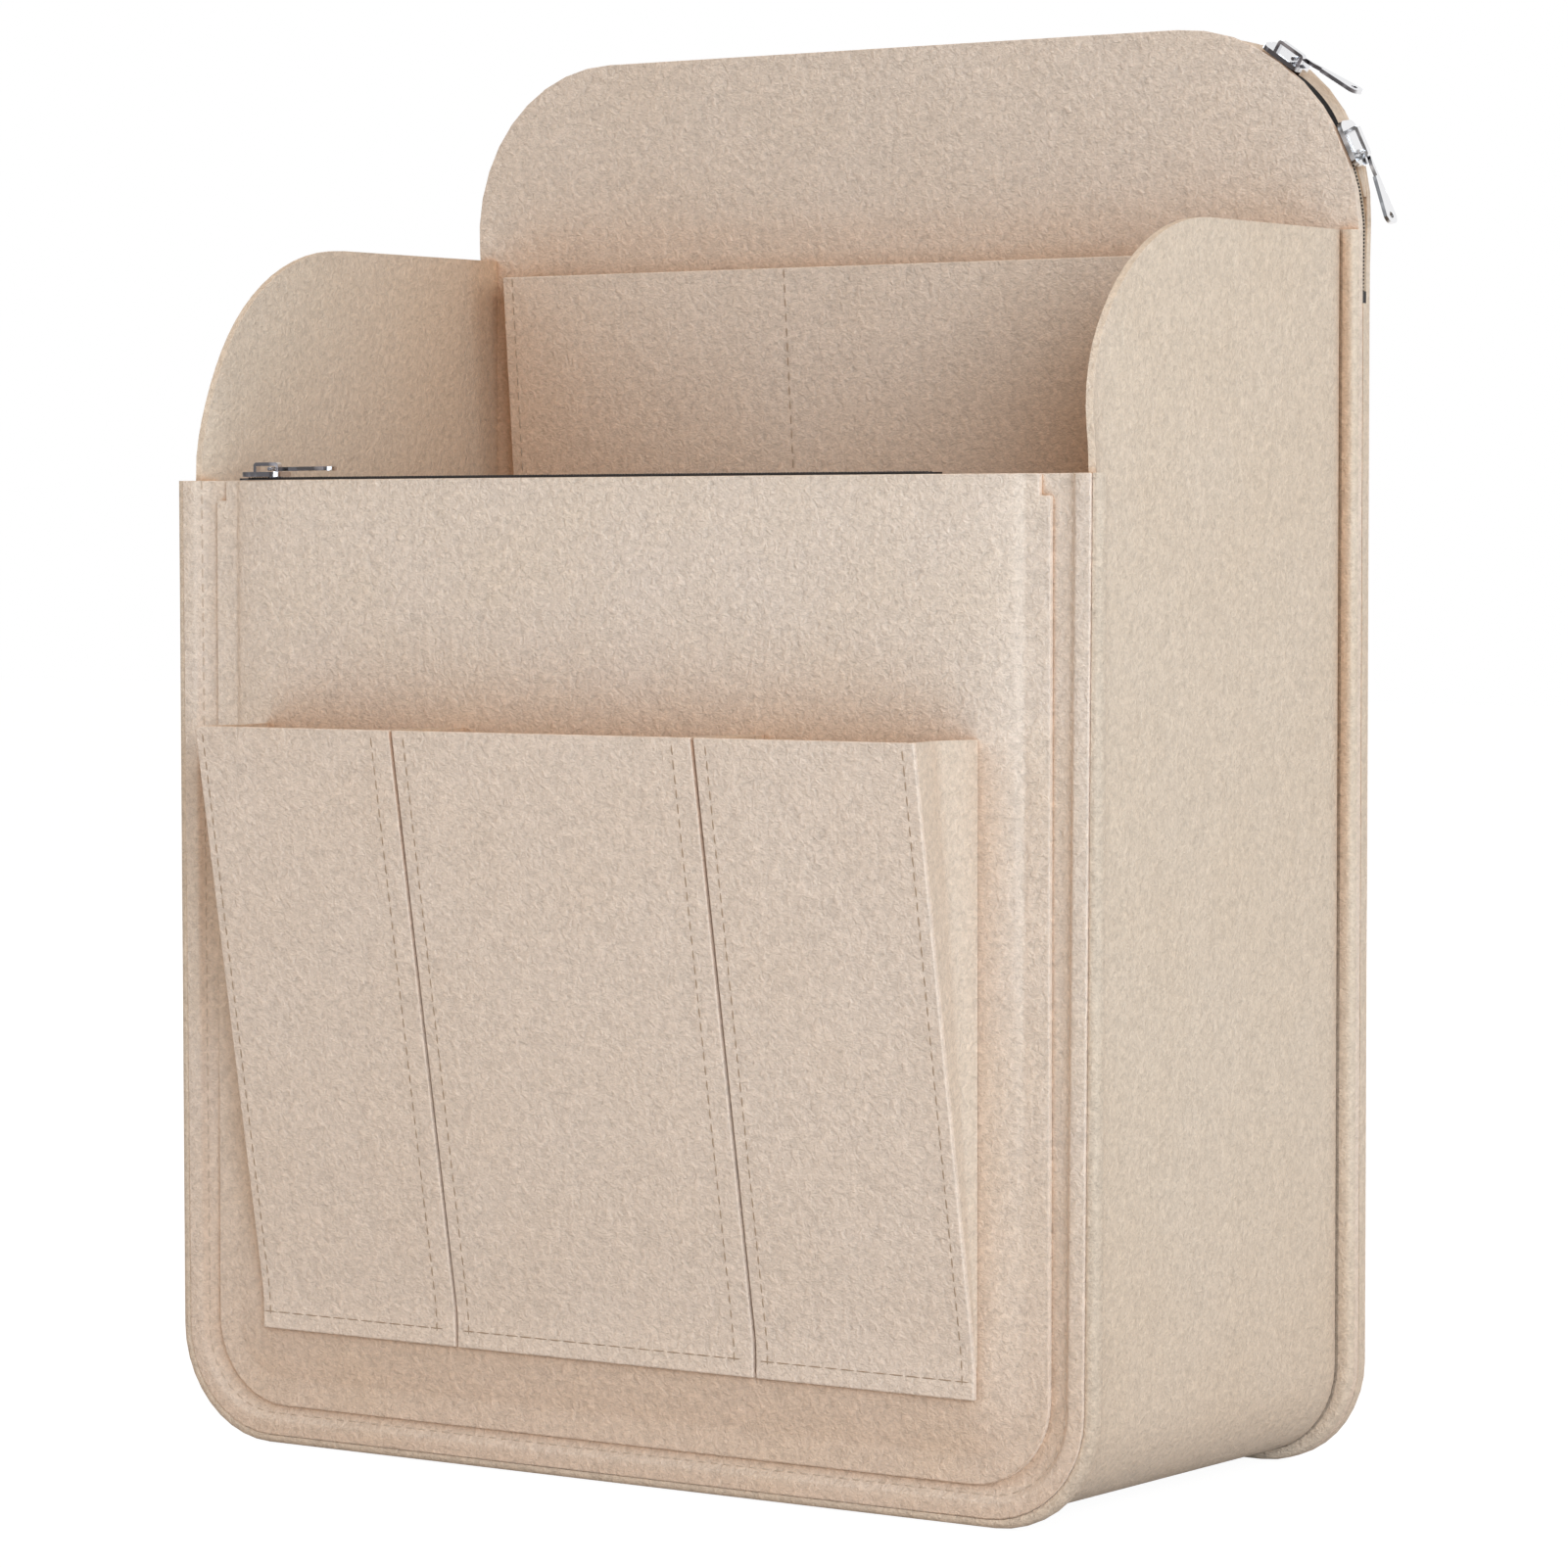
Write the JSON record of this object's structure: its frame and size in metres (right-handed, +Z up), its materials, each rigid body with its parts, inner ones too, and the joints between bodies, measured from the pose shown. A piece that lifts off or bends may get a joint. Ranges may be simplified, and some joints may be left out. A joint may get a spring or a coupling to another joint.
{
  "type": "bag organizer insert",
  "caption": "Felt organizer insert that stands in a backpack: open main compartment with winged sides, zipped patch pocket, bellows pockets in front, open inner pocket and a zipped rear sleeve.",
  "frame": {"origin": "middle of the front seam's lower edge, on the surface that the insert stands on", "axes": "+X to the right seen from the front, +Y towards the back, +Z up"},
  "size_m": [0.2799, 0.1652, 0.3518],
  "materials": {
    "felt": "soft matt felt",
    "gusset_felt": "soft matt felt",
    "front_zip_teeth": "matt",
    "rear_zip_teeth": "matt",
    "chrome": "polished"
  },
  "bodies": {
    "insert": {"front_panel": "felt", "zip_pocket_panel": "felt", "middle_panel": "felt", "back_panel": "felt", "left_pocket_front": "felt", "middle_pocket_front": "felt", "right_pocket_front": "felt", "inner_pocket_front": "felt", "gusset_band": "gusset_felt", "sleeve_seam_band": "gusset_felt", "sleeve_top_band": "gusset_felt", "inner_pocket_left_gusset": "gusset_felt", "inner_pocket_right_gusset": "gusset_felt", "inner_pocket_divider": "gusset_felt", "left_pocket_left_pleat": "gusset_felt", "left_pocket_right_pleat": "gusset_felt", "middle_pocket_left_pleat": "gusset_felt", "middle_pocket_right_pleat": "gusset_felt", "right_pocket_left_pleat": "gusset_felt", "right_pocket_right_pleat": "gusset_felt", "front_zip_front_half": "front_zip_teeth", "front_zip_rear_half": "front_zip_teeth", "rear_zip_front_half": "rear_zip_teeth", "rear_zip_rear_half": "rear_zip_teeth", "front_zip_left_stop": "chrome", "front_zip_right_stop": "chrome", "rear_zip_left_stop": "chrome", "rear_zip_right_stop": "chrome"},
    "front_slider": {"front_zip_slider": "chrome"},
    "front_pull": {"front_zip_pull": "chrome"},
    "upper_slider": {"upper_zip_slider": "chrome"},
    "upper_pull": {"upper_zip_pull": "chrome"},
    "lower_slider": {"lower_zip_slider": "chrome"},
    "lower_pull": {"lower_zip_pull": "chrome"}
  },
  "joints": [
    {"name": "front_zip_travel", "type": "slide", "parent": "insert", "child": "front_slider", "axis": [1, 0, 0], "range_m": [-0.003, 0.1925]},
    {"name": "front_pull_hinge", "type": "hinge", "parent": "front_slider", "child": "front_pull", "pos_m": [-0.105, -0.0022, 0.24435], "axis": [0, -1, 0], "range_deg": [0, 165]},
    {"name": "upper_zip_travel", "type": "hinge", "parent": "insert", "child": "upper_slider", "pos_m": [0.087, 0.12265, 0.3038], "axis": [0, 0.9929, 0.1189], "range_deg": [-31, 0]},
    {"name": "upper_pull_hinge", "type": "hinge", "parent": "upper_slider", "child": "upper_pull", "pos_m": [0.11829, 0.11787, 0.34367], "axis": [0, -0.9929, -0.1189], "range_deg": [0, 150]},
    {"name": "lower_zip_travel", "type": "hinge", "parent": "insert", "child": "lower_slider", "pos_m": [0.087, 0.12265, 0.3038], "axis": [0, 0.9929, 0.1189], "range_deg": [0, 19]},
    {"name": "lower_pull_hinge", "type": "hinge", "parent": "lower_slider", "child": "lower_pull", "pos_m": [0.13497, 0.12062, 0.32073], "axis": [0, -0.9929, -0.1189], "range_deg": [0, 90]}
  ]
}
